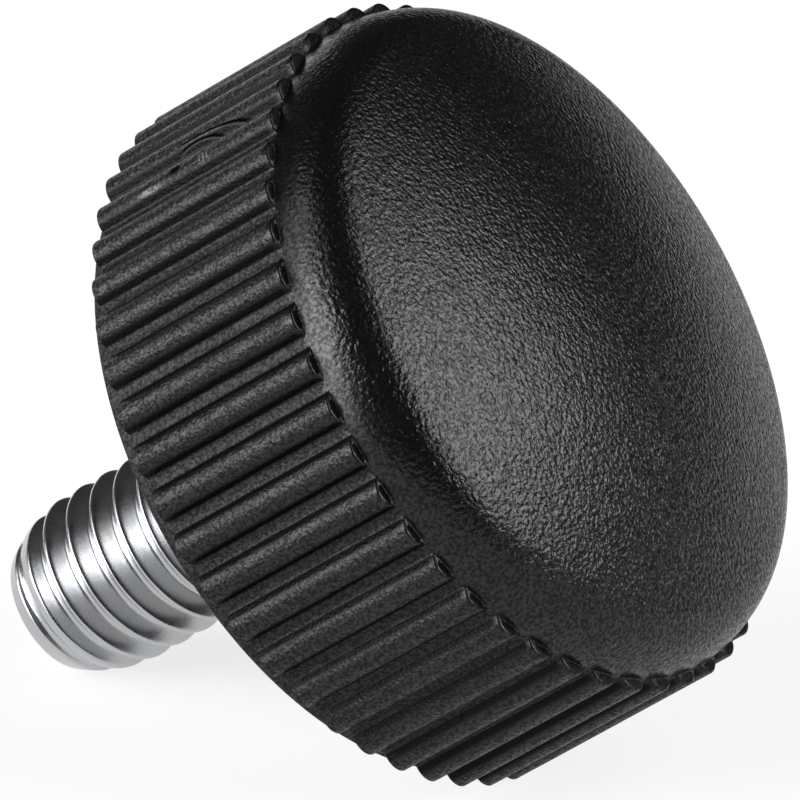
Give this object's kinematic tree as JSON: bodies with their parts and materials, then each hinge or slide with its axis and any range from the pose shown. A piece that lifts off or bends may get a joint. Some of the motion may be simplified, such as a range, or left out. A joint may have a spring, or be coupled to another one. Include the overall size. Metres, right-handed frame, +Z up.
{
  "type": "thumb screw",
  "caption": "Thumb screw with a domed, grained black plastic head, rounded grip ribs round its side and a moulded-in right-hand metric steel stud, for clamping by hand.",
  "frame": {"origin": "centre of the bounding box in X and Y, on the floor plane the screw lies on", "axes": "+X is the level direction from the stud's tip towards the head, +Z is up; the screw's own axis lies in the XZ plane and rises towards the head by the lean it comes to rest at"},
  "size_m": [0.0246, 0.0234, 0.0231],
  "materials": {
    "black_polyamide": "fine moulded grain on the crown, smoother shoulder and ribs",
    "zinc_plated_steel": "bright zinc plate"
  },
  "bodies": {
    "root": {"grip_head": "black_polyamide", "threaded_stud": "zinc_plated_steel"}
  },
  "joints": []
}
